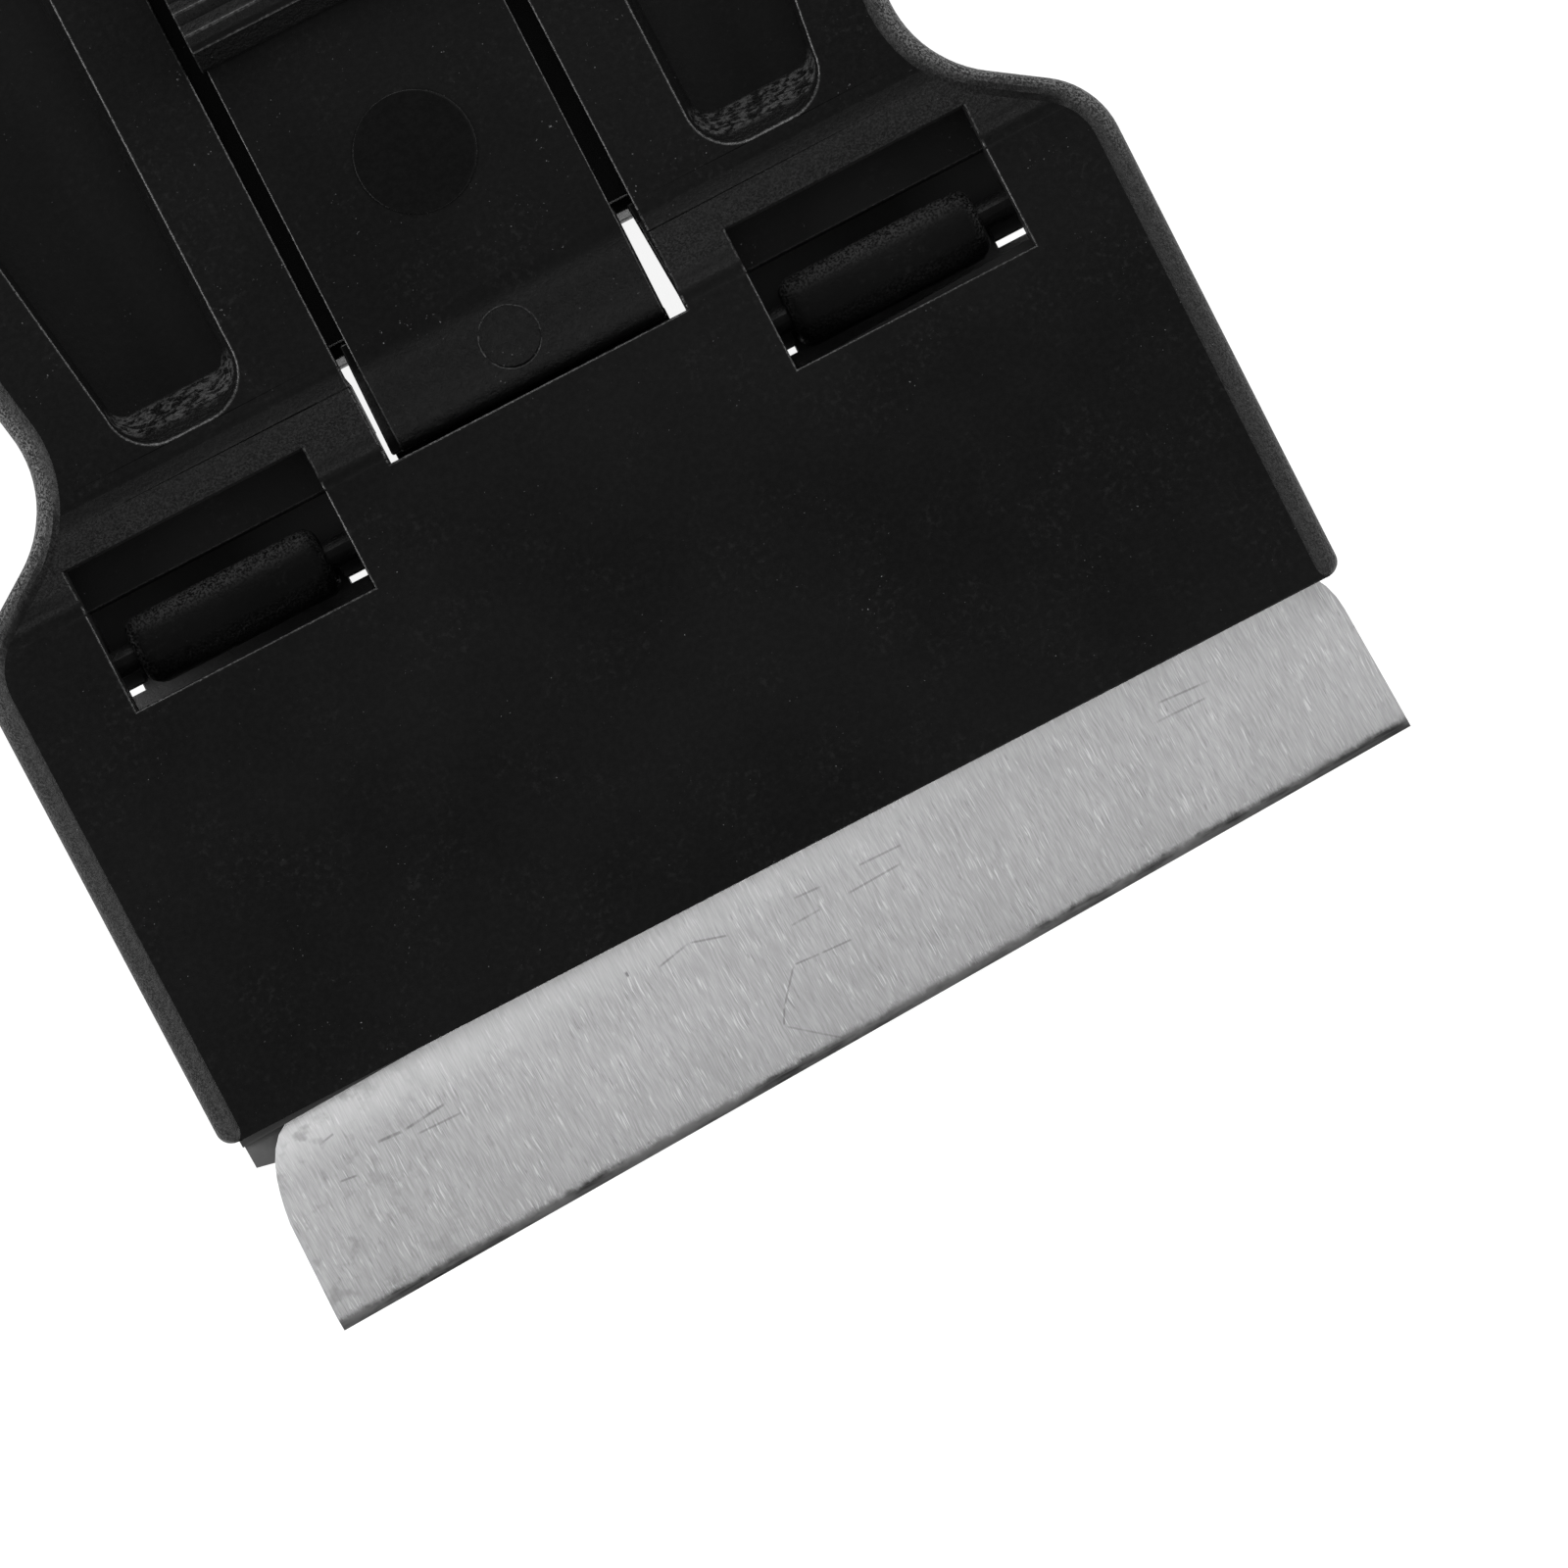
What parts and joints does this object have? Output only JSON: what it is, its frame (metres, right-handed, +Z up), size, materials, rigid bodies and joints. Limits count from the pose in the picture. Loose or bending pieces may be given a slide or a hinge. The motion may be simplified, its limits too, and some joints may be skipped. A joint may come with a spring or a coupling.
{
  "type": "blade scraper",
  "caption": "Flat plastic scraper whose wide head clamps a steel razor blade; a thumb slider in the handle unlocks the hinged lower jaw.",
  "frame": {"origin": "middle of the tool's footprint, on the plane that the handle's underside lies on", "axes": "+Z up, out of the thumb slider's side; -Y towards the blade; +X to the right when it is seen from above with the handle pointing away"},
  "size_m": [0.0392, 0.111, 0.0119],
  "materials": {
    "body": "fine moulded grain",
    "slider": "fine moulded grain",
    "jaw": "moulded grain, slightly smoother",
    "holder": "smooth satin",
    "blade": "brushed at right angles to the edge, fine scratches",
    "screw": "zinc plated"
  },
  "bodies": {
    "body": {"body_top": "body", "body_bottom": "body", "front_screw": "screw", "rear_screw": "screw"},
    "slider": {"slider": "slider", "wedge_shoe": "slider"},
    "jaw": {"lower_jaw": "jaw"},
    "blade_unit": {"blade_holder": "holder", "blade": "blade"}
  },
  "joints": [
    {"name": "slider_slide", "type": "slide", "parent": "body", "child": "slider", "axis": [0, 1, 0], "range_m": [0, 0.009]},
    {"name": "jaw_hinge", "type": "hinge", "parent": "body", "child": "jaw", "pos_m": [0, -0.03395, 0.0072], "axis": [1, 0, 0], "range_deg": [0, 7]},
    {"name": "blade_removal", "type": "slide", "parent": "jaw", "child": "blade_unit", "axis": [0.0375, -0.9993, 0], "range_m": [0, 0.016]}
  ],
  "couplings": [
    {"joint": "jaw_hinge", "follows": "slider_slide", "rad_per_m": 13.575}
  ]
}
